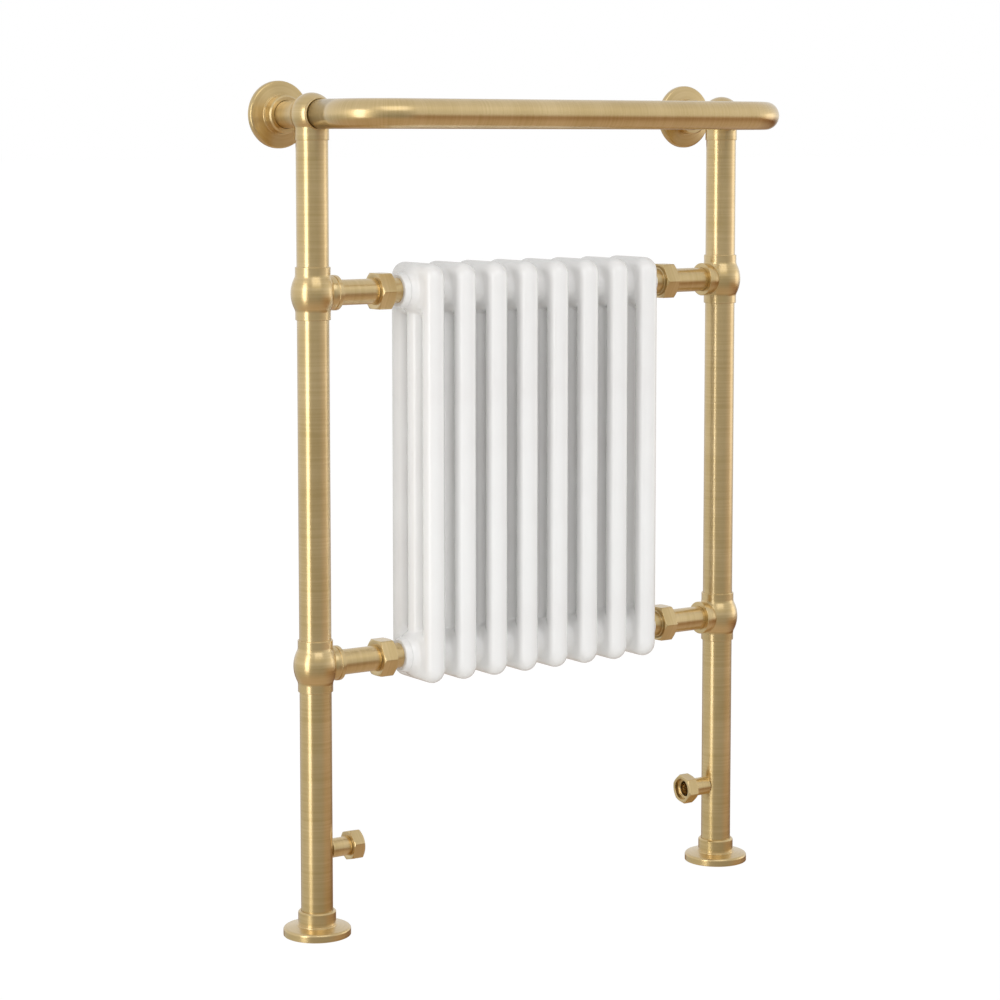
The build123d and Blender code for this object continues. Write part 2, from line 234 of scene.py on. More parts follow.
@dataclass(frozen=True)
class BrushedBrass:
    """Brass tube and castings, brushed round their girth and lacquered.

    The brushing gives the eye the fine rings round each post, and draws every
    highlight out along the tube. Faint clouds of tone keep it from looking painted.
    """

    name: str = "brushed_lacquered_brass"
    light_tone: str = "#E6CA90"
    deep_tone: str = "#D1B371"
    line_spacing_mm: float = 2.5
    cloud_size_mm: float = 45.0
    roughness: float = 0.32
    line_depth_mm: float = 0.004
    anisotropy: float = 0.5

    def make(self) -> bpy.types.Material:
        """Builds the material.

        Returns:
            The material, which needs the surface UV map in metres.
        """
        material = blank_material(self.name)
        tree = material.node_tree
        uv = add_node(tree, "ShaderNodeUVMap", {"uv_map": SURFACE_UV})
        place = add_node(tree, "ShaderNodeTexCoord")
        lines_at = add_node(
            tree,
            "ShaderNodeMapping",
            values={"Scale": (6.0, 1.0 / (self.line_spacing_mm * MM), 1.0)},
            links={"Vector": uv.outputs["UV"]},
        )
        lines = add_node(
            tree,
            "ShaderNodeTexNoise",
            {"noise_dimensions": "2D"},
            {"Scale": 1.0, "Detail": 2.0, "Roughness": 0.6},
            {"Vector": lines_at.outputs["Vector"]},
        )
        clouds = add_node(
            tree,
            "ShaderNodeTexNoise",
            values={"Scale": 1.0 / (self.cloud_size_mm * MM), "Detail": 2.0},
            links={"Vector": place.outputs["Object"]},
        )
        tone = add_node(
            tree,
            "ShaderNodeMath",
            {"operation": "MULTIPLY_ADD"},
            {1: 0.7},
            {0: lines.outputs["Fac"], 2: clouds.outputs["Fac"]},
        )
        share = add_node(
            tree,
            "ShaderNodeMapRange",
            values={"From Min": 0.55, "From Max": 1.15},
            links={"Value": tone.outputs[0]},
        )
        colour = add_ramp(
            tree, share.outputs["Result"], [(0.0, self.deep_tone), (1.0, self.light_tone)]
        )
        rough = add_node(
            tree,
            "ShaderNodeMapRange",
            values={
                "From Min": 0.3,
                "From Max": 0.7,
                "To Min": self.roughness - 0.01,
                "To Max": self.roughness + 0.015,
            },
            links={"Value": lines.outputs["Fac"]},
        )
        relief = add_node(
            tree,
            "ShaderNodeBump",
            values={"Strength": 0.5, "Distance": self.line_depth_mm * MM},
            links={"Height": lines.outputs["Fac"]},
        )
        grain = add_node(
            tree, "ShaderNodeTangent", {"direction_type": "UV_MAP", "uv_map": SURFACE_UV}
        )
        shader = add_node(
            tree,
            "ShaderNodeBsdfPrincipled",
            values={
                "Metallic": 1.0,
                "Anisotropic": self.anisotropy,
                "Anisotropic Rotation": 0.25,
                "Coat Weight": 1.0,
                "Coat Roughness": 0.17,
                "Coat IOR": 1.8,
            },
            links={
                "Base Color": colour,
                "Roughness": rough.outputs["Result"],
                "Normal": relief.outputs["Normal"],
                "Tangent": grain.outputs["Tangent"],
            },
        )
        add_node(tree, "ShaderNodeOutputMaterial", links={"Surface": shader.outputs["BSDF"]})
        return material


@dataclass(frozen=True)
class GlossEnamel:
    """White stoved enamel on pressed steel.

    The clear gloss gives the eye long soft reflections down each column. A very
    shallow orange peel, a few millimetres across, breaks their edges as sprayed paint does.
    """

    name: str = "white_stoved_enamel"
    light_tone: str = "#F7F7F6"
    deep_tone: str = "#F3F2F1"
    peel_size_mm: float = 5.0
    peel_depth_mm: float = 0.03
    roughness: float = 0.2

    def make(self) -> bpy.types.Material:
        """Builds the material.

        Returns:
            The material.
        """
        material = blank_material(self.name)
        tree = material.node_tree
        place = add_node(tree, "ShaderNodeTexCoord")
        peel = add_node(
            tree,
            "ShaderNodeTexNoise",
            values={"Scale": 1.0 / (self.peel_size_mm * MM), "Detail": 1.0},
            links={"Vector": place.outputs["Object"]},
        )
        flow = add_node(
            tree,
            "ShaderNodeTexNoise",
            values={"Scale": 12.0, "Detail": 2.0},
            links={"Vector": place.outputs["Object"]},
        )
        colour = add_ramp(
            tree, flow.outputs["Fac"], [(0.35, self.deep_tone), (0.65, self.light_tone)]
        )
        relief = add_node(
            tree,
            "ShaderNodeBump",
            values={"Strength": 0.4, "Distance": self.peel_depth_mm * MM},
            links={"Height": peel.outputs["Fac"]},
        )
        shader = add_node(
            tree,
            "ShaderNodeBsdfPrincipled",
            values={
                "Roughness": self.roughness,
                "Coat Weight": 0.5,
                "Coat Roughness": 0.06,
            },
            links={"Base Color": colour, "Normal": relief.outputs["Normal"]},
        )
        add_node(tree, "ShaderNodeOutputMaterial", links={"Surface": shader.outputs["BSDF"]})
        return material


@dataclass(frozen=True)
class SpeckledFinish:
    """A plain finish with a fine speckle, for the pieces that are mostly hidden.

    On zinc-plated steel the speckle reads as the spangle of the plating, and on
    moulded rubber as a dusty bloom.
    """

    name: str
    light_tone: str
    deep_tone: str
    speckle_size_mm: float
    roughness: float
    metallic: float

    def make(self) -> bpy.types.Material:
        """Builds the material.

        Returns:
            The material.
        """
        material = blank_material(self.name)
        tree = material.node_tree
        place = add_node(tree, "ShaderNodeTexCoord")
        speckle = add_node(
            tree,
            "ShaderNodeTexNoise",
            values={"Scale": 1.0 / (self.speckle_size_mm * MM), "Detail": 3.0},
            links={"Vector": place.outputs["Object"]},
        )
        colour = add_ramp(
            tree, speckle.outputs["Fac"], [(0.35, self.deep_tone), (0.65, self.light_tone)]
        )
        rough = add_node(
            tree,
            "ShaderNodeMapRange",
            values={"To Min": self.roughness - 0.08, "To Max": self.roughness + 0.08},
            links={"Value": speckle.outputs["Fac"]},
        )
        shader = add_node(
            tree,
            "ShaderNodeBsdfPrincipled",
            values={"Metallic": self.metallic},
            links={"Base Color": colour, "Roughness": rough.outputs["Result"]},
        )
        add_node(tree, "ShaderNodeOutputMaterial", links={"Surface": shader.outputs["BSDF"]})
        return material


@dataclass(frozen=True)
class StudioSurface:
    """A pale, matt studio sheet, lifted to white for the camera, that keeps a faint shadow."""

    name: str = "white_studio_sheet"
    tone: str = "#F6F5F3"
    shadow_share: float = 0.10
    white_strength: float = 1.06

    def make(self) -> bpy.types.Material:
        """Builds the material.

        Returns:
            The material.
        """
        material = blank_material(self.name)
        tree = material.node_tree
        rays = add_node(tree, "ShaderNodeLightPath")
        matt = add_node(tree, "ShaderNodeBsdfDiffuse", values={"Color": linear(self.tone)})
        white = add_node(
            tree, "ShaderNodeEmission", values={"Color": linear("#FFFFFF"), "Strength": self.white_strength}
        )
        lift = add_node(
            tree,
            "ShaderNodeMath",
            {"operation": "MULTIPLY"},
            {1: 1.0 - self.shadow_share},
            {0: rays.outputs["Is Camera Ray"]},
        )
        shader = add_node(
            tree,
            "ShaderNodeMixShader",
            links={0: lift.outputs[0], 1: matt.outputs["BSDF"], 2: white.outputs["Emission"]},
        )
        add_node(tree, "ShaderNodeOutputMaterial", links={"Surface": shader.outputs["Shader"]})
        return material


@dataclass
class Finishes:
    """The materials of the record's slots."""

    brass: bpy.types.Material
    enamel: bpy.types.Material
    zinc: bpy.types.Material
    rubber: bpy.types.Material

    @classmethod
    def make(cls) -> "Finishes":
        """Builds all the materials.

        Returns:
            The set of materials.
        """
        zinc = SpeckledFinish("zinc_plated_steel", "#B9BCBF", "#A2A6AA", 1.5, 0.38, 1.0)
        rubber = SpeckledFinish("moulded_rubber", "#2B2B2B", "#1C1C1C", 0.8, 0.7, 0.0)
        return cls(BrushedBrass().make(), GlossEnamel().make(), zinc.make(), rubber.make())

    def for_slot(self, slot: str) -> bpy.types.Material:
        """Picks the material of one of the record's slots.

        Args:
            slot: The slot's name in the record.

        Returns:
            Its material.
        """
        return {
            "brushed_brass": self.brass,
            "white_enamel": self.enamel,
            "zinc_plated_steel": self.zinc,
            "rubber": self.rubber,
        }[slot]


def arc(centre: Station, radius: float, start: float, end: float, steps: int) -> list[Station]:
    """Points along a circular arc.

    Args:
        centre: The circle's centre.
        radius: The circle's radius.
        start: The first point's angle in radians.
        end: The last point's angle in radians.
        steps: How many steps there are between the ends.

    Returns:
        The points, both ends included.
    """
    angles = [start + (end - start) * step / steps for step in range(steps + 1)]
    return [
        (centre[0] + radius * math.cos(a), centre[1] + radius * math.sin(a)) for a in angles
    ]


def rounded(corners: Sequence[Corner], steps: int = 3) -> list[Station]:
    """Rounds the corners of a closed outline.

    Args:
        corners: Radius, height and corner round of each corner, in millimetres.
        steps: How many facets each rounded corner gets.

    Returns:
        The outline's points.
    """
    points: list[Station] = []
    count = len(corners)
    for place, (radius, height, round_by) in enumerate(corners):
        here = Vector((radius, height))
        if round_by <= 0:
            points.append((radius, height))
            continue
        before = Vector(corners[place - 1][:2]) - here
        after = Vector(corners[(place + 1) % count][:2]) - here
        half_angle = before.angle(after) / 2
        reach = round_by / math.tan(half_angle)
        middle = before.normalized() + after.normalized()
        centre = here + middle.normalized() * (round_by / math.sin(half_angle))
        first = here + before.normalized() * reach - centre
        last = here + after.normalized() * reach - centre
        sweep = first.angle_signed(last)
        for step in range(steps + 1):
            spoke = first.copy()
            spoke.rotate(Matrix.Rotation(-sweep * step / steps, 2))
            points.append(tuple(centre + spoke))
    return points


def hexagon_limit(across_flats: float, turn: float, sharpness: float = 110.0) -> Limit:
    """Gives a hexagon's radius in each direction, with its corners just eased.

    Args:
        across_flats: The hexagon's size in millimetres.
        turn: How far its corners are turned, in radians.
        sharpness: How sharp its corners are.

    Returns:
        A function from an angle to the hexagon's radius there.
    """

    def radius(angle: float) -> float:
        total = sum(
            max(0.0, math.cos(angle - turn - math.radians(30 + 60 * flat))) ** sharpness
            for flat in range(6)
        )
        return across_flats / 2 / total ** (1 / sharpness)

    return radius


def skin(mesh: bmesh.types.BMesh, rings: Sequence[Ring], girth: float, closed: bool) -> None:
    """Joins a row of rings into a surface whose UVs are in metres.

    Args:
        mesh: The mesh to add to.
        rings: Rings with the same number of points, in metres.
        girth: The length round the surface that the UVs take, in metres.
        closed: Whether the last ring joins the first, as in a tube with a bore.
    """
    layer = mesh.loops.layers.uv.get(SURFACE_UV) or mesh.loops.layers.uv.new(SURFACE_UV)
    rows = [[mesh.verts.new(point) for point in ring] for ring in rings]
    size = len(rings[0])
    along = [0.0]
    for low, high in zip(rings, [*rings[1:], rings[0]]):
        along.append(along[-1] + max((b - a).length for a, b in zip(low, high)))
    pairs = len(rings) if closed else len(rings) - 1
    for row in range(pairs):
        low, high = rows[row], rows[(row + 1) % len(rows)]
        for spot in range(size):
            beside = (spot + 1) % size
            face = mesh.faces.new((low[spot], low[beside], high[beside], high[spot]))
            face.smooth = True
            round_to = (spot, spot + 1, spot + 1, spot)
            up_to = (along[row], along[row], along[row + 1], along[row + 1])
            for loop, across, up in zip(face.loops, round_to, up_to):
                loop[layer].uv = (across / size * girth, up)
    if not closed:
        for row in (list(reversed(rows[0])), rows[-1]):
            if (row[0].co - row[size // 2].co).length > MM * 0.01:
                mesh.faces.new(row)


@dataclass
class Workshop:
    """Makes pieces and puts them on their bodies.

    Attributes:
        finishes: The materials.
    """

    finishes: Finishes

    def finish_piece(
        self, mesh: bmesh.types.BMesh, name: str, slot: str, smooth_edges: bool = True
    ) -> bpy.types.Object:
        """Turns a finished mesh into an object with its material.

        Args:
            mesh: The mesh, which is freed.
            name: The piece's name.
            slot: The record's material slot.
            smooth_edges: Whether broad faces keep their own shading beside small rounds.

        Returns:
            The new object.
        """
        bmesh.ops.remove_doubles(mesh, verts=mesh.verts, dist=MM * 0.001)
        bmesh.ops.recalc_face_normals(mesh, faces=mesh.faces)
        data = bpy.data.meshes.new(name)
        mesh.to_mesh(data)
        mesh.free()
        data.materials.append(self.finishes.for_slot(slot))
        piece = bpy.data.objects.new(name, data)
        bpy.context.scene.collection.objects.link(piece)
        if smooth_edges:
            weights = piece.modifiers.new("face_weighted_shading", "WEIGHTED_NORMAL")
            weights.weight = 80
        return piece

    def mount(self, piece: bpy.types.Object, body: str, *nodes: str) -> bpy.types.Object:
        """Puts a piece on a body in place of CAD nodes.

        Args:
            piece: The piece, in place.
            body: The body that it rides on.
            nodes: The CAD nodes that it stands for.

        Returns:
            The piece.
        """
        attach(piece, body)
        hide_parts(*nodes)
        log.info("%s rides on %s in place of %s", piece.name, body, ", ".join(nodes))
        return piece

    def turn(
        self,
        mesh: bmesh.types.BMesh,
        outline: Sequence[Station],
        origin: Sequence[float],
        facing: Facing,
        closed: bool = True,
        segments: int = 96,
        limit: Optional[Limit] = None,
    ) -> None:
        """Turns an outline about an axis.

        Args:
            mesh: The mesh to add to.
            outline: Radius and height of each point, in millimetres.
            origin: The axis's foot in the row frame, in millimetres.
            facing: The axis's direction.
            closed: Whether the outline is a loop that doesn't touch the axis.
            segments: How many facets go round.
            limit: The most that the radius may be in each direction, in millimetres.
        """
        place = Matrix.Translation(Vector(origin) * MM) @ facing.turn()
        rings = []
        for radius, height in outline:
            ring = []
            for spot in range(segments):
                angle = 2 * math.pi * spot / segments
                reach = min(radius, limit(angle)) if limit else radius
                point = Vector((reach * math.cos(angle), reach * math.sin(angle), height))
                ring.append(place @ (point * MM))
            rings.append(ring)
        widest = max(radius for radius, _ in outline)
        skin(mesh, rings, 2 * math.pi * widest * MM, closed)


@dataclass
class Tubework:
    """The lengths of brass tube in the posts, the stays and the inlet spurs.

    Attributes:
        shop: The workshop.
        wall: The tube's wall in millimetres.
    """

    shop: Workshop
    wall: float = 1.5
    end_round: float = 0.3

    def length(
        self,
        node: str,
        diameter: float,
        low: float,
        high: float,
        origin: Sequence[float],
        facing: Facing,
    ) -> bpy.types.Object:
        """Makes one length of tube for a CAD node.

        Args:
            node: The CAD node's name.
            diameter: The outside diameter in millimetres.
            low: Where the tube starts along its axis.
            high: Where the tube ends along its axis.
            origin: The axis's foot.
            facing: The axis's direction.

        Returns:
            The piece.
        """
        outer = diameter / 2
        inner = outer - self.wall
        mesh = bmesh.new()
        corners = [
            (outer, low, self.end_round),
            (outer, high, self.end_round),
            (inner, high, 0.0),
            (inner, low, 0.0),
        ]
        self.shop.turn(mesh, rounded(corners), origin, facing)
        piece = self.shop.finish_piece(mesh, f"{node}_brass", "brushed_brass")
        return self.shop.mount(piece, "frame", node)


@dataclass
class Post:
    """One post with its tees, its elbow, its inlet, its covers and its stay.

    Attributes:
        shop: The workshop.
        side: Which post it is.
    """

    shop: Workshop
    side: Side
    axis_x: float = 290.75
    axis_y: float = 29.325
    rail_z: float = 935.35
    wall_y: float = 107.325
    tube_diameter: float = 36.5
    stay_diameter: float = 31.5
    rail_diameter: float = 33.3
    tee_ball_radius: float = 25.1
    tee_ball_round: float = 38.0
    tee_collar_radius: float = 20.0
    tee_reach: float = 29.75
    tee_seat: float = 15.75
    tee_neck_radius: float = 10.0
    elbow_ball_radius: float = 24.0
    elbow_collar_radius: float = 19.3
    elbow_reach: float = 29.0
    elbow_seat: float = 18.0
    elbow_neck_radius: float = 4.0
    ring_radius: float = 18.3
    ring_reach: float = 19.0
    ring_seat: float = 9.0
    cross_tube_radius: float = 14.5
    seat_gap: float = 0.05
    inlet_z: float = 97.5

    @property
    def x(self) -> float:
        """The post's place along X in millimetres."""
        return self.side.value * self.axis_x

    def at(self, height: float) -> tuple[float, float, float]:
        """A place on the post's axis.

        Args:
            height: The height in millimetres.

        Returns:
            The place in the row frame.
        """
        return (self.x, self.axis_y, height)

    def node(self, part: str) -> str:
        """The CAD node's name for a part of this post.

        Args:
            part: The part's name without its side.

        Returns:
            The node's name.
        """
        return f"{self.side.label}_{part}"

    def build(self) -> None:
        """Makes all the post's pieces."""
        tubes = Tubework(self.shop)
        lower, upper = Level.LOWER.value, Level.UPPER.value
        top = self.rail_z - self.elbow_seat
        runs = (
            ("lower_tube", 3.0, lower - self.tee_seat),
            ("middle_tube", lower + self.tee_seat, upper - self.tee_seat),
            ("upper_tube", upper + self.tee_seat, top),
        )
        for part, low, high in runs:
            tubes.length(
                self.node(part), self.tube_diameter, low, high, self.at(0.0), Facing.UP
            )
        tubes.length(
            self.node("wall_stay"),
            self.stay_diameter,
            self.ring_seat,
            self.wall_y - self.axis_y - 3.0,
            self.at(self.rail_z),
            Facing.WALL,
        )
        self.build_tee(Level.LOWER)
        self.build_tee(Level.UPPER)
        self.build_elbow()
        self.build_cover(
            "floor_cover", 38.75, 9.0, 28.5, self.tube_diameter, self.at(0.0), Facing.UP
        )
        wall = (self.x, self.wall_y, self.rail_z)
        self.build_cover("wall_cover", 38.3, 6.4, 22.0, self.stay_diameter, wall, Facing.ROOM)
        self.build_inlet()

    def ball_outline(
        self, ball: float, round_radius: float, collar: float, neck: float, reach: float
    ) -> list[Station]:
        """The outside of half a ball with its collar, from the collar's end to the widest place.

        Args:
            ball: The ball's radius where it is widest.
            round_radius: The radius of its profile, which is larger on a barrel.
            collar: The collar's radius.
            neck: The radius of the hollow curve between them.
            reach: How far the collar's end is from the ball's centre.

        Returns:
            Radius and height of each point, with the collar below.
        """
        middle = ball - round_radius
        centre_radius = collar + neck
        centre_height = math.sqrt((round_radius + neck) ** 2 - (centre_radius - middle) ** 2)
        lean = math.atan2(centre_height, centre_radius - middle)
        rim = rounded(
            [(collar - 1.2, -reach, 0.0), (collar, -reach, 0.6), (collar, -centre_height, 0.0)]
        )
        hollow = arc((centre_radius, -centre_height), neck, math.pi, math.pi - lean, 6)
        swell = arc((middle, 0.0), round_radius, -lean, 0.0, 12)
        return [*rim[:-1], *hollow, *swell[1:]]

    def build_tee(self, level: Level) -> None:
        """Makes a ball tee: the ball with its two collars, and the boss for the cross tube.

        Args:
            level: Which tee it is.
        """
        below = self.ball_outline(
            self.tee_ball_radius,
            self.tee_ball_round,
            self.tee_collar_radius,
            self.tee_neck_radius,
            self.tee_reach,
        )
        above = [(radius, -height) for radius, height in reversed(below[:-1])]
        socket = self.tube_diameter / 2 + self.seat_gap
        bore = [
            (socket, self.tee_reach),
            (socket, self.tee_seat),
            (12.0, self.tee_seat),
            (12.0, -self.tee_seat),
            (socket, -self.tee_seat),
            (socket, -self.tee_reach),
        ]
        mesh = bmesh.new()
        centre = self.at(level.value)
        self.shop.turn(mesh, [*below, *above, *bore], centre, Facing.UP)
        boss_socket = self.cross_tube_radius + self.seat_gap
        boss = rounded(
            [
                (boss_socket, 14.0, 0.0),
                (self.tee_collar_radius - 0.9, 14.0, 0.0),
                (self.tee_collar_radius - 0.9, self.tee_reach - 5.2, 0.3),
                (self.tee_collar_radius, self.tee_reach - 4.6, 0.3),
                (self.tee_collar_radius, self.tee_reach, 0.7),
                (boss_socket, self.tee_reach, 0.3),
            ]
        )
        self.shop.turn(mesh, boss, centre, self.side.inwards)
        part = f"{level.label}_tee"
        piece = self.shop.finish_piece(mesh, f"{self.node(part)}_brass", "brushed_brass")
        self.shop.mount(piece, "frame", self.node(part))

    def build_elbow(self) -> None:
        """Makes the ball on top of the post, and its rings for the rail and the stay."""
        below = self.ball_outline(
            self.elbow_ball_radius,
            self.elbow_ball_radius,
            self.elbow_collar_radius,
            self.elbow_neck_radius,
            self.elbow_reach,
        )
        dome = arc((0.0, 0.0), self.elbow_ball_radius, 0.0, math.pi / 2, 20)
        socket = self.tube_diameter / 2 + self.seat_gap
        bore = [(0.0, -self.elbow_seat), (socket, -self.elbow_seat), (socket, -self.elbow_reach)]
        mesh = bmesh.new()
        centre = self.at(self.rail_z)
        outline = [*bore, *below, *dome[1:-1], (0.0, self.elbow_ball_radius)]
        self.shop.turn(mesh, outline, centre, Facing.UP, closed=False)
        for facing, diameter in (
            (Facing.ROOM, self.rail_diameter),
            (Facing.WALL, self.stay_diameter),
        ):
            seat = diameter / 2 + self.seat_gap
            ring = rounded(
                [
                    (seat, self.ring_seat, 0.0),
                    (self.ring_radius, self.ring_seat, 0.0),
                    (self.ring_radius, self.ring_reach, 0.6),
                    (seat, self.ring_reach, 0.3),
                ]
            )
            self.shop.turn(mesh, ring, centre, facing)
        part = self.node("top_elbow")
        piece = self.shop.finish_piece(mesh, f"{part}_brass", "brushed_brass")
        self.shop.mount(piece, "frame", part)

    def build_cover(
        self,
        part: str,
        rim: float,
        rim_height: float,
        height: float,
        tube_diameter: float,
        origin: Sequence[float],
        facing: Facing,
    ) -> None:
        """Makes a spun cover: a rounded disc, a bead and a collar round the tube.

        Args:
            part: The part's name without its side.
            rim: The disc's radius.
            rim_height: The disc's height at its edge.
            height: The whole height.
            tube_diameter: The diameter of the tube that it slides on.
            origin: The middle of the face that rests on the floor or the wall.
            facing: The way that the collar points.
        """
        collar = 21.7
        crown = rim_height + 2.2
        bore = tube_diameter / 2 + 0.3
        corners = [
            (rim - 1.6, 0.0, 0.0),
            (rim, 0.0, 0.6),
            (rim, rim_height, 2.8),
            (collar + 1.4, crown, 0.5),
            (collar + 1.4, crown + 1.4, 0.6),
            (collar, crown + 1.4, 0.3),
            (collar, height - 1.6, 0.4),
            (collar - 1.6, height, 0.4),
            (bore, height, 0.3),
            (bore, crown - 1.6, 0.0),
            (rim - 1.6, rim_height - 1.6, 0.0),
        ]
        mesh = bmesh.new()
        self.shop.turn(mesh, rounded(corners, steps=5), origin, facing, segments=128)
        node = self.node(part)
        piece = self.shop.finish_piece(mesh, f"{node}_brass", "brushed_brass")
        self.shop.mount(piece, node, node)

    def build_inlet(self) -> None:
        """Makes the spur out of the post and the hexagonal socket that takes a valve."""
        origin = self.at(self.inlet_z)
        tubes = Tubework(self.shop)
        tubes.length(self.node("inlet_spur"), 22.0, 16.75, 43.6, origin, self.side.inwards)
        radius = 32.0 / math.sqrt(3)
        drop = (radius - 16.0) * 0.6
        steps = 6
        near = [
            (16.0 + (radius - 16.0) * step / steps, 40.6 + drop * step / steps)
            for step in range(steps + 1)
        ]
        far = [(r, 40.6 + 55.2 - h) for r, h in reversed(near)]
        mouth = [(13.2, 55.2), (12.8, 54.8), (12.8, 50.4), (12.2, 49.8), (9.9, 49.8), (9.3, 49.2)]
        outline = [*near, *far, *mouth, (9.3, 43.6), (11.05, 43.6), (11.05, 40.6)]
        turn = math.radians(15.0)
        mesh = bmesh.new()
        self.shop.turn(
            mesh,
            outline,
            origin,
            self.side.inwards,
            segments=144,
            limit=hexagon_limit(32.0, turn),
        )
        node = self.node("inlet_socket")
        piece = self.shop.finish_piece(mesh, f"{node}_brass", "brushed_brass")
        self.shop.mount(piece, "frame", node)


@dataclass
class TowelRail:
    """The rail that overhangs in front: two arms, two bends and the long bar.

    Attributes:
        shop: The workshop.
    """

    shop: Workshop
    radius: float = 16.65
    arm_x: float = 290.75
    post_y: float = 29.325
    height: float = 935.35
    projection: float = 120.0
    start: float = 9.0
    bend_radius: float = 55.0
    bend_steps: int = 24
    segments: int = 96

    def centreline(self) -> list[tuple[Vector, Vector]]:
        """Walks along the rail from the left elbow to the right one.

        Returns:
            Places in millimetres, each with the rail's direction there.
        """
        front = self.post_y - self.projection
        back = self.post_y - self.start
        left, right = -self.arm_x + self.bend_radius, self.arm_x - self.bend_radius
        turn_y = front + self.bend_radius
        line = [(Vector((-self.arm_x, back, self.height)), Vector((0, -1, 0)))]
        for centre_x, start in ((left, math.pi), (right, 1.5 * math.pi)):
            for step in range(self.bend_steps + 1):
                angle = start + math.pi / 2 * step / self.bend_steps
                spoke = Vector((math.cos(angle), math.sin(angle), 0.0))
                place = Vector((centre_x, turn_y, self.height)) + spoke * self.bend_radius
                line.append((place, Vector((-spoke.y, spoke.x, 0.0))))
        line.append((Vector((self.arm_x, back, self.height)), Vector((0, 1, 0))))
        return line

    def build(self) -> None:
        """Makes the rail."""
        rings = []
        up = Vector((0, 0, 1))
        for place, direction in self.centreline():
            beside = direction.cross(up)
            ring = []
            for spot in range(self.segments):
                angle = 2 * math.pi * spot / self.segments
                offset = beside * math.cos(angle) + up * math.sin(angle)
                ring.append((place + offset * self.radius) * MM)
            rings.append(ring)
        mesh = bmesh.new()
        skin(mesh, rings, 2 * math.pi * self.radius * MM, closed=False)
        piece = self.shop.finish_piece(mesh, "towel_rail_brass", "brushed_brass")
        self.shop.mount(piece, "frame", "towel_rail")


@dataclass
class Union:
    """One connection from a post's tee to the radiator: tube, nut, tail and bush.

    Attributes:
        shop: The workshop.
        side: Which post it joins.
        level: Which port it joins.
    """

    shop: Workshop
    side: Side
    level: Level
    axis_y: float = 29.325
    hub_face: float = 173.2
    tail_end: float = 180.2
    nut_start: float = 192.7
    nut_end: float = 211.6
    nut_size: float = 41.0
    thread_radius: float = 16.6
    lip: float = 3.7
    tail_face: float = 204.1
    flange_start: float = 205.6
    flange_end: float = 207.6
    tee_seat: float = 275.0
    tube_radius: float = 14.5

    def node(self, part: str) -> str:
        """The CAD node's name for a part of this union.

        Args:
            part: The part's name without its side and level.

        Returns:
            The node's name.
        """
        return f"{self.side.label}_{self.level.label}_{part}"

    def turned(
        self,
        part: str,
        outline: Sequence[Station],
        body: str = "frame",
        slot: str = "brushed_brass",
        limit: Optional[Limit] = None,
    ) -> None:
        """Turns one of the union's parts about its axis.

        Args:
            part: The part's name without its side and level.
            outline: Radius and distance from the radiator's middle, in millimetres.
            body: The body that it rides on.
            slot: The record's material slot.
            limit: The most that the radius may be in each direction.
        """
        mesh = bmesh.new()
        origin = (0.0, self.axis_y, self.level.value)
        segments = 144 if limit else 96
        self.shop.turn(
            mesh, outline, origin, self.side.outwards, segments=segments, limit=limit
        )
        node = self.node(part)
        piece = self.shop.finish_piece(mesh, f"{node}_piece", slot)
        self.shop.mount(piece, body, node)

    def build(self) -> None:
        """Makes the union's parts."""
        bore = self.tube_radius - 1.5
        flange = self.thread_radius - 0.3
        self.turned(
            "cross_tube",
            [
                (bore, self.flange_start),
                (flange, self.flange_start),
                (flange, self.flange_end),
                (self.tube_radius, self.flange_end),
                (self.tube_radius, self.tee_seat),
                (bore, self.tee_seat),
            ],
        )
        self.turned(
            "tail",
            rounded(
                [
                    (10.5, self.tail_end - 14.0, 0.0),
                    (13.2, self.tail_end - 14.0, 0.3),
                    (13.2, self.tail_end, 0.0),
                    (14.75, self.tail_end, 0.3),
                    (14.75, self.nut_start, 0.0),
                    (self.thread_radius, self.nut_start, 0.3),
                    (self.thread_radius, self.tail_face, 0.3),
                    (10.5, self.tail_face, 0.3),
                ]
            ),
        )
        self.turned(
            "end_bush",
            rounded(
                [
                    (13.25, self.hub_face - 12.0, 0.0),
                    (16.95, self.hub_face - 12.0, 0.0),
                    (16.95, self.hub_face, 0.0),
                    (20.9, self.hub_face, 0.4),
                    (18.5, self.tail_end, 1.6),
                    (13.25, self.tail_end, 0.6),
                ],
                steps=5,
            ),
            slot="white_enamel",
        )
        nut = self.node("union_nut")
        turn = math.pi if self.side is Side.LEFT else 0.0
        self.turned(
            "union_nut",
            self.nut_outline(),
            body=nut,
            limit=hexagon_limit(self.nut_size, turn + math.pi / 2),
        )

    def nut_outline(self) -> list[Station]:
        """The nut's outline, with its corners turned off at both ends.

        Returns:
            Radius and distance from the radiator's middle, in millimetres.
        """
        flat = self.nut_size / 2
        corner = self.nut_size / math.sqrt(3)
        drop = (corner - flat) * 0.6
        steps = 6
        near = [
            (flat + (corner - flat) * step / steps, self.nut_start + drop * step / steps)
            for step in range(steps + 1)
        ]
        middle = self.nut_start + self.nut_end
        far = [(radius, middle - height) for radius, height in reversed(near)]
        thread = self.thread_radius + 0.05
        lip_bore = self.tube_radius + 0.05
        inside = [
            (lip_bore, self.nut_end),
            (lip_bore, self.nut_end - self.lip),
            (thread, self.nut_end - self.lip),
            (thread, self.nut_start),
        ]
        return [*near, *far, *inside]


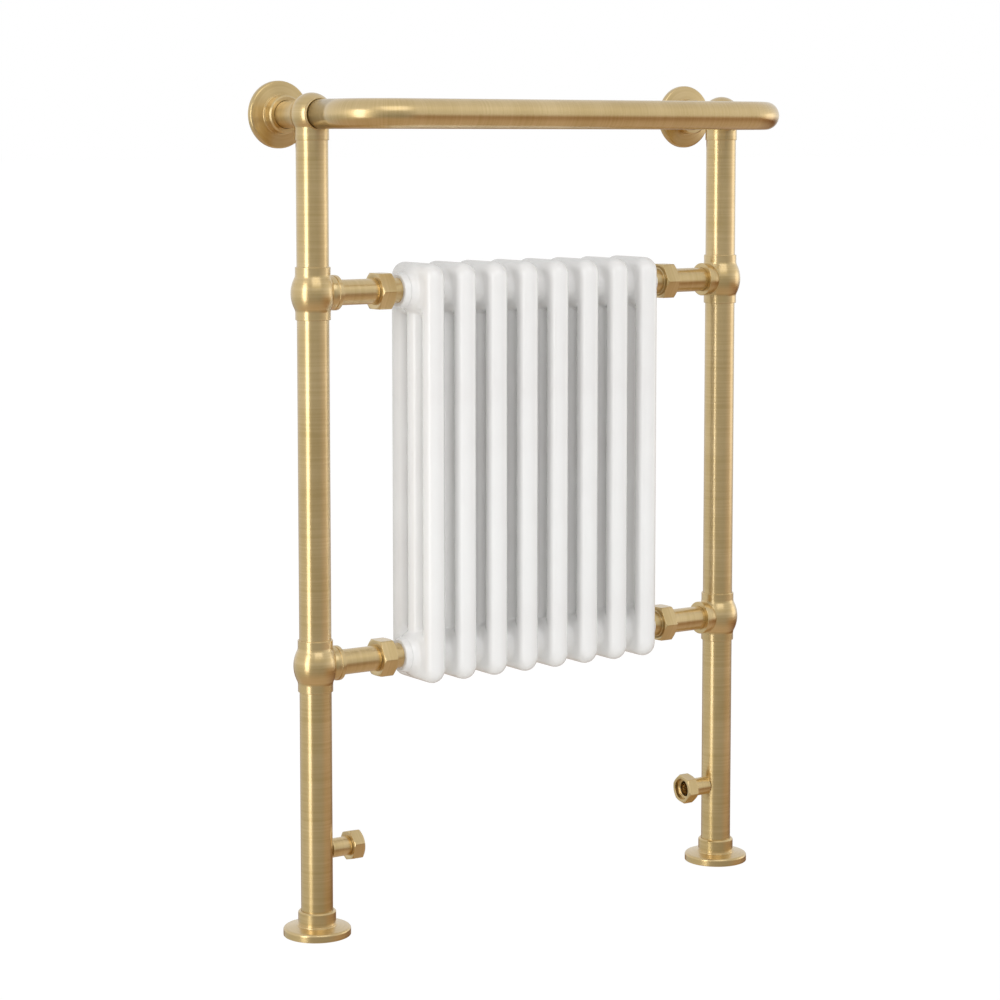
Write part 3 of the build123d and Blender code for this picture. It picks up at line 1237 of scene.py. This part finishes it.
@dataclass
class Radiator:
    """The row of pressed-steel sections between the posts.

    Attributes:
        shop: The workshop.
    """

    shop: Workshop
    count: int = 8
    pitch: float = 43.4
    axis_y: float = 29.325
    column_radius: float = 12.6
    column_spacing: float = 32.8
    header_rise: float = 31.25
    slot_inset: float = 29.0
    corner_radius: float = 17.5
    hub_root: float = 25.0
    hub_face: float = 21.0
    hub_reach: float = 21.3
    hub_bore: float = 17.0
    voxel: float = 1.5

    def build(self) -> None:
        """Makes one section's mesh and hangs a copy of it at each place."""
        data = self.section_mesh()
        for number in range(self.count):
            piece = bpy.data.objects.new(f"section_{number + 1}_enamel", data)
            bpy.context.scene.collection.objects.link(piece)
            across = (number - (self.count - 1) / 2) * self.pitch
            piece.location = Vector((across, self.axis_y, 0.0)) * MM
            self.shop.mount(piece, "frame", f"section_{number + 1}")

    def section_mesh(self) -> bpy.types.Mesh:
        """Welds columns, headers and hubs into one smooth pressing.

        Returns:
            The section's mesh, centred on X and Y.
        """
        mesh = bmesh.new()
        for place in (-1, 0, 1):
            self.add_column(mesh, place * self.column_spacing)
        self.add_header(mesh, Level.UPPER.value, 1)
        self.add_header(mesh, Level.LOWER.value, -1)
        for level in Level:
            for facing in (Facing.RIGHT, Facing.LEFT):
                self.add_hub(mesh, level.value, facing)
        rough = self.shop.finish_piece(mesh, "section_pressing", "white_enamel", False)
        remesh = rough.modifiers.new("weld", "REMESH")
        remesh.mode = "VOXEL"
        remesh.voxel_size = self.voxel * MM
        remesh.use_smooth_shade = True
        ease = rough.modifiers.new("ease", "SMOOTH")
        ease.factor = 0.5
        ease.iterations = 6
        graph = bpy.context.evaluated_depsgraph_get()
        data = bpy.data.meshes.new_from_object(rough.evaluated_get(graph))
        data.name = "section_pressing"
        data.polygons.foreach_set("use_smooth", [True] * len(data.polygons))
        bpy.data.objects.remove(rough)
        log.info("one section has %d faces", len(data.polygons))
        return data

    def add_column(self, mesh: bmesh.types.BMesh, across: float) -> None:
        """Adds one column, rounded over at both ends.

        Args:
            mesh: The mesh to add to.
            across: The column's place along Y.
        """
        low = Level.LOWER.value - self.header_rise + self.corner_radius
        high = Level.UPPER.value + self.header_rise - self.corner_radius
        outline = [(0.0, low), (self.column_radius, low), (self.column_radius, high), (0.0, high)]
        self.shop.turn(mesh, outline, (0.0, across, 0.0), Facing.UP, False, 64)

    def add_header(self, mesh: bmesh.types.BMesh, port: float, way: int) -> None:
        """Adds one header, a flat bar with a full-round edge and rounded outer corners.

        Args:
            mesh: The mesh to add to.
            port: The height of its port.
            way: 1 for the upper header and -1 for the lower one.
        """
        half = self.column_spacing + self.column_radius
        outer = port + way * self.header_rise
        inner = port - way * self.slot_inset
        low, high = min(outer, inner), max(outer, inner)
        rings = []
        steps = 10
        for step in range(2 * steps + 1):
            angle = -math.pi / 2 + math.pi / 2 * step / steps
            inset = self.column_radius * (1 - math.cos(angle))
            x = self.column_radius * math.sin(angle)
            corner = max(self.corner_radius - inset, 0.5)
            inset_corners = [
                (half - inset, low + inset, corner),
                (half - inset, high - inset, corner),
                (-half + inset, high - inset, corner),
                (-half + inset, low + inset, corner),
            ]
            outline = rounded(inset_corners, steps=8)
            rings.append([Vector((x, y, z)) * MM for y, z in outline])
        skin(mesh, rings, half * MM, closed=False)

    def add_hub(self, mesh: bmesh.types.BMesh, port: float, facing: Facing) -> None:
        """Adds one hub, which swells out of the header and ends in a flat face.

        Args:
            mesh: The mesh to add to.
            port: The height of its port.
            facing: The way that it points.
        """
        flare = [
            (self.hub_root + 3.0, 4.0),
            (self.hub_root + 2.0, 9.5),
            (self.hub_root, 12.6),
            (self.hub_face + 1.6, 15.5),
            (self.hub_face, 18.5),
            (self.hub_face - 0.3, self.hub_reach),
        ]
        outline = [(0.0, 4.0), *flare, (0.0, self.hub_reach)]
        self.shop.turn(mesh, outline, (0.0, 0.0, port), facing, False, 64)


@dataclass
class AirVent:
    """The plug and bleed screw on the outer side of the right-hand elbow.

    Attributes:
        shop: The workshop.
    """

    shop: Workshop
    origin: tuple[float, float, float] = (290.75, 29.325, 935.35)
    seat: float = 22.8
    plug_radius: float = 7.5
    plug_length: float = 7.0
    spigot_radius: float = 5.0
    spigot_length: float = 8.0
    screw_radius: float = 2.45
    head_radius: float = 4.0
    head_length: float = 2.5
    slot_width: float = 1.2

    def build(self) -> None:
        """Makes the plug and the screw."""
        face = self.seat + self.plug_length
        bore = self.screw_radius + 0.05
        plug = rounded(
            [
                (bore, self.seat - self.spigot_length, 0.0),
                (self.spigot_radius, self.seat - self.spigot_length, 0.0),
                (self.spigot_radius, self.seat, 0.0),
                (self.plug_radius, self.seat, 0.2),
                (self.plug_radius, face, 0.8),
                (bore, face, 0.2),
            ]
        )
        mesh = bmesh.new()
        self.shop.turn(mesh, plug, self.origin, Facing.RIGHT, segments=64)
        piece = self.shop.finish_piece(mesh, "vent_plug_brass", "brushed_brass")
        self.shop.mount(piece, "frame", "vent_plug")
        self.build_screw(face)

    def build_screw(self, face: float) -> None:
        """Makes the slotted screw.

        Args:
            face: The plug's outer face along the screw's axis.
        """
        low = face + 0.3
        high = low + self.head_length
        screw = [
            (0.0, self.seat),
            (self.screw_radius, self.seat),
            (self.screw_radius, low),
            (self.head_radius, low),
            (self.head_radius, high - 0.3),
            (self.head_radius - 0.3, high),
            (0.0, high),
        ]
        mesh = bmesh.new()
        self.shop.turn(mesh, screw, self.origin, Facing.RIGHT, False, 64)
        piece = self.shop.finish_piece(mesh, "bleed_screw_brass", "brushed_brass", False)
        self.cut_slot(piece, high)
        self.shop.mount(piece, "bleed_screw", "bleed_screw")

    def cut_slot(self, screw: bpy.types.Object, face: float) -> None:
        """Cuts the driver's slot across the screw's head.

        Args:
            screw: The screw, whose mesh is changed.
            face: The head's outer face along the screw's axis.
        """
        mesh = bmesh.new()
        bmesh.ops.create_cube(mesh, size=1.0)
        size = Vector((2 * self.slot_width, 4 * self.head_radius, self.slot_width))
        bmesh.ops.scale(mesh, vec=size * MM, verts=mesh.verts)
        place = Vector(self.origin) + Vector((face, 0.0, 0.0))
        bmesh.ops.translate(mesh, vec=place * MM, verts=mesh.verts)
        data = bpy.data.meshes.new("slot_cutter")
        mesh.to_mesh(data)
        mesh.free()
        cutter = bpy.data.objects.new("slot_cutter", data)
        bpy.context.scene.collection.objects.link(cutter)
        slot = screw.modifiers.new("driver_slot", "BOOLEAN")
        slot.operation = "DIFFERENCE"
        slot.solver = "EXACT"
        slot.object = cutter
        graph = bpy.context.evaluated_depsgraph_get()
        screw.data = bpy.data.meshes.new_from_object(screw.evaluated_get(graph))
        screw.data.polygons.foreach_set("use_smooth", [False] * len(screw.data.polygons))
        screw.modifiers.clear()
        bpy.data.objects.remove(cutter)


def dress_hidden_nodes(frame: dict, finishes: Finishes) -> None:
    """Gives the CAD nodes that stay their materials.

    Args:
        frame: The loaded frame.
        finishes: The materials.
    """
    slots = {part["node"]: part["material_slot"] for part in frame["record"]["subparts"]}
    for name, node in frame["nodes"].items():
        if node.hide_render:
            continue
        node.data.materials.clear()
        node.data.materials.append(finishes.for_slot(slots[name]))
        log.info("%s keeps its solid and is finished as %s", name, slots[name])


@dataclass(frozen=True)
class Softbox:
    """A rectangular studio light that points at the radiator.

    Attributes:
        name: The light's name.
        bearing: Its direction from the radiator, in degrees from the room towards +X.
        elevation: Its height above the horizon in degrees.
        distance: Its distance in metres.
        size: Its width and height in metres.
        power: Its power in watts.
        tone: Its sRGB colour.
    """

    name: str
    bearing: float
    elevation: float
    distance: float
    size: tuple[float, float]
    power: float
    tone: str = "#FFFFFF"

    def place(self, target: Vector) -> None:
        """Hangs the light.

        Args:
            target: The place that it points at.
        """
        data = bpy.data.lights.new(self.name, "AREA")
        data.shape = "RECTANGLE"
        data.size, data.size_y = self.size
        data.energy = self.power
        data.color = linear(self.tone)[:3]
        turn, rise = math.radians(self.bearing), math.radians(self.elevation)
        back = Vector(
            (math.sin(turn) * math.cos(rise), -math.cos(turn) * math.cos(rise), math.sin(rise))
        )
        lamp = bpy.data.objects.new(self.name, data)
        lamp.location = target + back * self.distance
        lamp.rotation_euler = back.to_track_quat("Z", "Y").to_euler()
        lamp.visible_camera = False
        bpy.context.scene.collection.objects.link(lamp)
        log.info("%s hangs at %s", self.name, tuple(round(v, 2) for v in lamp.location))


@dataclass
class Studio:
    """The floor, the lights, the surroundings and the camera."""

    target: Vector
    floor_size: float = 200.0
    camera_place: tuple[float, float, float] = (-1.8089, -2.6039, 0.9078)
    camera_bearing: float = 33.921
    camera_pitch: float = 5.718
    lens: float = 97.45
    shift_down: float = -0.09
    ambient: float = 1.6
    ceiling_tone: str = "#DCDCDC"
    nadir_tone: str = "#C4B19E"
    zenith_tone: str = "#8C8C8C"
    room_tones: tuple[tuple[float, str], ...] = (
        (0.0, "#9C9C9C"),
        (0.25, "#EEEEEE"),
        (0.45, "#FFFFFF"),
        (0.6, "#F0F0F0"),
        (0.75, "#B4B4B4"),
        (1.0, "#9C9C9C"),
    )
    wall_tones: tuple[tuple[float, str], ...] = (
        (0.0, "#E6E6E4"),
        (0.24, "#EAEAE8"),
        (0.34, "#C0C0BE"),
        (0.42, "#B8B8B6"),
        (0.52, "#B6B6B4"),
        (0.58, "#D0D0CE"),
        (0.64, "#F4F4F2"),
        (0.76, "#FFFFFC"),
        (0.84, "#E6E4E0"),
    )
    floor_tones: tuple[tuple[float, str], ...] = (
        (0.0, "#C0C0B8"),
        (0.24, "#C4C4BC"),
        (0.34, "#A2A09C"),
        (0.52, "#9A9894"),
        (0.62, "#A07C5E"),
        (0.70, "#845A3A"),
        (0.78, "#6E4428"),
        (0.88, "#947860"),
    )

    def build(self) -> None:
        """Sets up everything round the object."""
        self.add_camera()
        self.add_floor()
        self.add_surroundings()
        for light in self.lights():
            light.place(self.target)
        bpy.context.scene.view_settings.view_transform = "Standard"

    def lights(self) -> list[Softbox]:
        """The studio's lights.

        Returns:
            The softboxes.
        """
        return [
            Softbox("key_softbox", -76.0, 6.0, 3.0, (1.0, 2.8), 21.0),
            Softbox("front_softbox", -12.0, 42.0, 4.0, (3.0, 2.0), 16.0),
            Softbox("fill_softbox", 76.0, 3.0, 4.0, (2.0, 1.6), 7.0, "#FFF6EA"),
        ]

    def add_camera(self) -> None:
        """Adds the camera at the photograph's viewing angle."""
        data = bpy.data.cameras.new("camera")
        data.lens = self.lens
        data.sensor_width = 36.0
        data.shift_y = self.shift_down
        camera = bpy.data.objects.new("camera", data)
        camera.location = self.camera_place
        camera.rotation_euler = (
            math.radians(90.0 - self.camera_pitch),
            0.0,
            -math.radians(self.camera_bearing),
        )
        bpy.context.scene.collection.objects.link(camera)
        bpy.context.scene.camera = camera

    def add_floor(self) -> None:
        """Adds the pale floor."""
        mesh = bmesh.new()
        half = self.floor_size / 2
        corners = ((-half, -half), (half, -half), (half, half), (-half, half))
        mesh.faces.new([mesh.verts.new((x, y, 0.0)) for x, y in corners])
        data = bpy.data.meshes.new("studio_floor")
        mesh.to_mesh(data)
        mesh.free()
        data.materials.append(StudioSurface().make())
        floor = bpy.data.objects.new("studio_floor", data)
        floor.visible_glossy = False
        bpy.context.scene.collection.objects.link(floor)
        floor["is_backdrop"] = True

    def add_surroundings(self) -> None:
        """Makes the backdrop white, and gives the metal a studio of pale and grey walls."""
        world = bpy.data.worlds.new("studio_surroundings")
        world.use_nodes = True
        tree = world.node_tree
        tree.nodes.clear()
        place = add_node(tree, "ShaderNodeTexCoord")
        axes = add_node(
            tree, "ShaderNodeSeparateXYZ", links={"Vector": place.outputs["Generated"]}
        )
        room = add_node(
            tree, "ShaderNodeMath", {"operation": "MULTIPLY"}, {1: -1.0}, {0: axes.outputs["Y"]}
        )
        bearing = add_node(
            tree,
            "ShaderNodeMath",
            {"operation": "ARCTAN2"},
            links={0: axes.outputs["X"], 1: room.outputs[0]},
        )
        turn = add_node(
            tree,
            "ShaderNodeMapRange",
            values={"From Min": -math.pi, "From Max": math.pi},
            links={"Value": bearing.outputs[0]},
        )
        wall = add_ramp(tree, turn.outputs["Result"], self.wall_tones)
        floor = add_ramp(tree, turn.outputs["Result"], self.floor_tones)
        ceiling = add_node(tree, "ShaderNodeRGB")
        ceiling.outputs[0].default_value = linear(self.ceiling_tone)
        below = self.blend(tree, axes.outputs["Z"], (-0.02, -0.26), wall, floor)
        nadir = add_node(tree, "ShaderNodeRGB")
        nadir.outputs[0].default_value = linear(self.nadir_tone)
        deep = self.blend(tree, axes.outputs["Z"], (-0.35, -0.7), below, nadir.outputs[0])
        seen = self.blend(tree, axes.outputs["Z"], (0.1, 0.6), deep, ceiling.outputs[0])
        walls = add_node(
            tree, "ShaderNodeBackground", values={"Strength": 1.0}, links={"Color": seen}
        )
        white = add_node(
            tree, "ShaderNodeBackground", values={"Color": linear("#FFFFFF"), "Strength": 1.0}
        )
        sides = add_ramp(tree, turn.outputs["Result"], self.room_tones)
        zenith = add_node(tree, "ShaderNodeRGB")
        zenith.outputs[0].default_value = linear(self.zenith_tone)
        around = self.blend(tree, axes.outputs["Z"], (0.15, 0.75), sides, zenith.outputs[0])
        soft = add_node(
            tree,
            "ShaderNodeBackground",
            values={"Strength": self.ambient},
            links={"Color": around},
        )
        rays = add_node(tree, "ShaderNodeLightPath")
        metal = add_node(
            tree,
            "ShaderNodeMixShader",
            links={
                0: rays.outputs["Is Glossy Ray"],
                1: soft.outputs["Background"],
                2: walls.outputs["Background"],
            },
        )
        mixed = add_node(
            tree,
            "ShaderNodeMixShader",
            links={
                0: rays.outputs["Is Camera Ray"],
                1: metal.outputs["Shader"],
                2: white.outputs["Background"],
            },
        )
        add_node(tree, "ShaderNodeOutputWorld", links={"Surface": mixed.outputs["Shader"]})
        bpy.context.scene.world = world

    def blend(
        self,
        tree: bpy.types.NodeTree,
        height: bpy.types.NodeSocket,
        span: tuple[float, float],
        first: bpy.types.NodeSocket,
        second: bpy.types.NodeSocket,
    ) -> bpy.types.NodeSocket:
        """Blends two colours over a span of heights.

        Args:
            tree: The node tree.
            height: The direction's height, from -1 straight down to 1 straight up.
            span: Where the first colour ends and where the second is full.
            first: The first colour.
            second: The second colour.

        Returns:
            The blended colour's socket.
        """
        share = add_node(
            tree,
            "ShaderNodeMapRange",
            values={"From Min": span[0], "From Max": span[1]},
            links={"Value": height},
        )
        mixed = add_node(
            tree,
            "ShaderNodeMix",
            {"data_type": "RGBA"},
            links={0: share.outputs["Result"], 6: first, 7: second},
        )
        return mixed.outputs[2]


def clear_scene() -> None:
    """Removes what Blender starts with."""
    for thing in list(bpy.data.objects):
        bpy.data.objects.remove(thing)


def corners(bounds: tuple[Vector, Vector]) -> list[list[float]]:
    """Turns a box into plain lists.

    Args:
        bounds: Its lowest and highest corners.

    Returns:
        The same corners as lists of numbers.
    """
    return [[float(value) for value in corner] for corner in bounds]


def main() -> None:
    """Builds the scene."""
    logging.basicConfig(level=logging.INFO, format="%(name)s: %(message)s")
    clear_scene()
    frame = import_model()
    cad_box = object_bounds()
    Studio((cad_box[0] + cad_box[1]) / 2).build()
    finishes = Finishes.make()
    shop = Workshop(finishes)
    for side in Side:
        Post(shop, side).build()
        for level in Level:
            Union(shop, side, level).build()
    TowelRail(shop).build()
    Radiator(shop).build()
    AirVent(shop).build()
    dress_hidden_nodes(frame, finishes)


if __name__ == "__main__":
    main()
